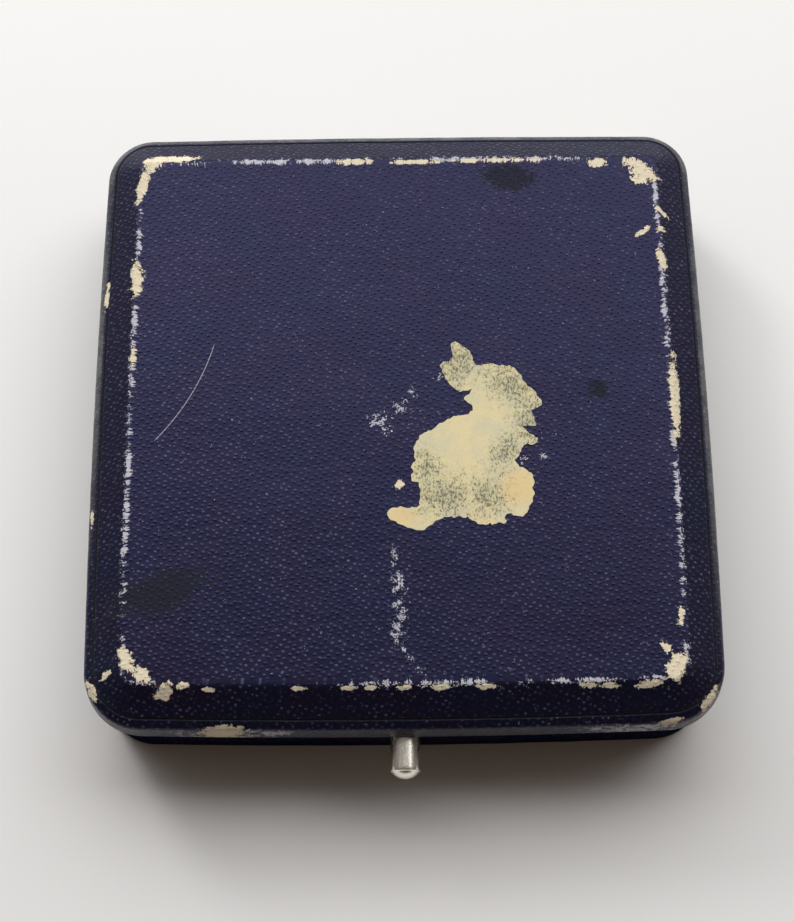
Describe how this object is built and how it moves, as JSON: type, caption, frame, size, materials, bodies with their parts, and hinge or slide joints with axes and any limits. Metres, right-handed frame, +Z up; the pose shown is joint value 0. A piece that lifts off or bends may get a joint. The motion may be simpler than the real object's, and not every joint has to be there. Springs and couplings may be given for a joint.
{
  "type": "drafting instrument case",
  "caption": "Small square round-cornered leatherette instrument case with a bevelled hinged lid, fitted tray and push-button catch.",
  "frame": {"origin": "middle of the underside that the case stands on", "axes": "+Z up through the lid, -Y towards the push button, +X to the right when the button faces the viewer"},
  "size_m": [0.08, 0.0872, 0.0181],
  "materials": {
    "leatherette": "pebbled, worn",
    "wood": "raw",
    "card": "matte",
    "underside": "fine grained",
    "velvet": "velvet",
    "satin": "satin",
    "brass": "aged",
    "nickel": "nickel plated",
    "steel": "drawn",
    "label_paper": "torn, stained"
  },
  "bodies": {
    "base": {"base_frame": "wood", "base_board": "wood", "base_cover": "leatherette", "base_filler_card": "card", "base_underside": "underside", "base_collar": "satin", "tray_former": "card", "velvet_lining": "velvet", "hinge_leaf_base": "brass", "hinge_pin": "steel", "hinge_nails_base": "brass", "catch_housing": "brass", "catch_nails": "brass", "catch_spring": "steel"},
    "button": {"push_button": "nickel", "button_stem": "steel", "latch_hook": "steel", "stem_washer": "brass"},
    "lid": {"lid_frame": "wood", "lid_board": "wood", "lid_cover": "leatherette", "lid_pad": "satin", "lid_lining_band": "satin", "hinge_leaf_lid": "brass", "hinge_nails_lid": "brass", "strike_plate": "brass", "strike_nails": "brass", "label_remnant": "label_paper"}
  },
  "joints": [
    {"name": "lid_hinge", "type": "hinge", "parent": "base", "child": "lid", "pos_m": [0, 0.04, 0.01165], "axis": [-1, 0, 0], "range_deg": [0, 100]},
    {"name": "button_press", "type": "slide", "parent": "base", "child": "button", "axis": [0, 1, 0], "range_m": [0, 0.0015], "stiffness_N_per_m": 300, "springref_m": -0.002, "deforming": ["catch_spring"]}
  ]
}
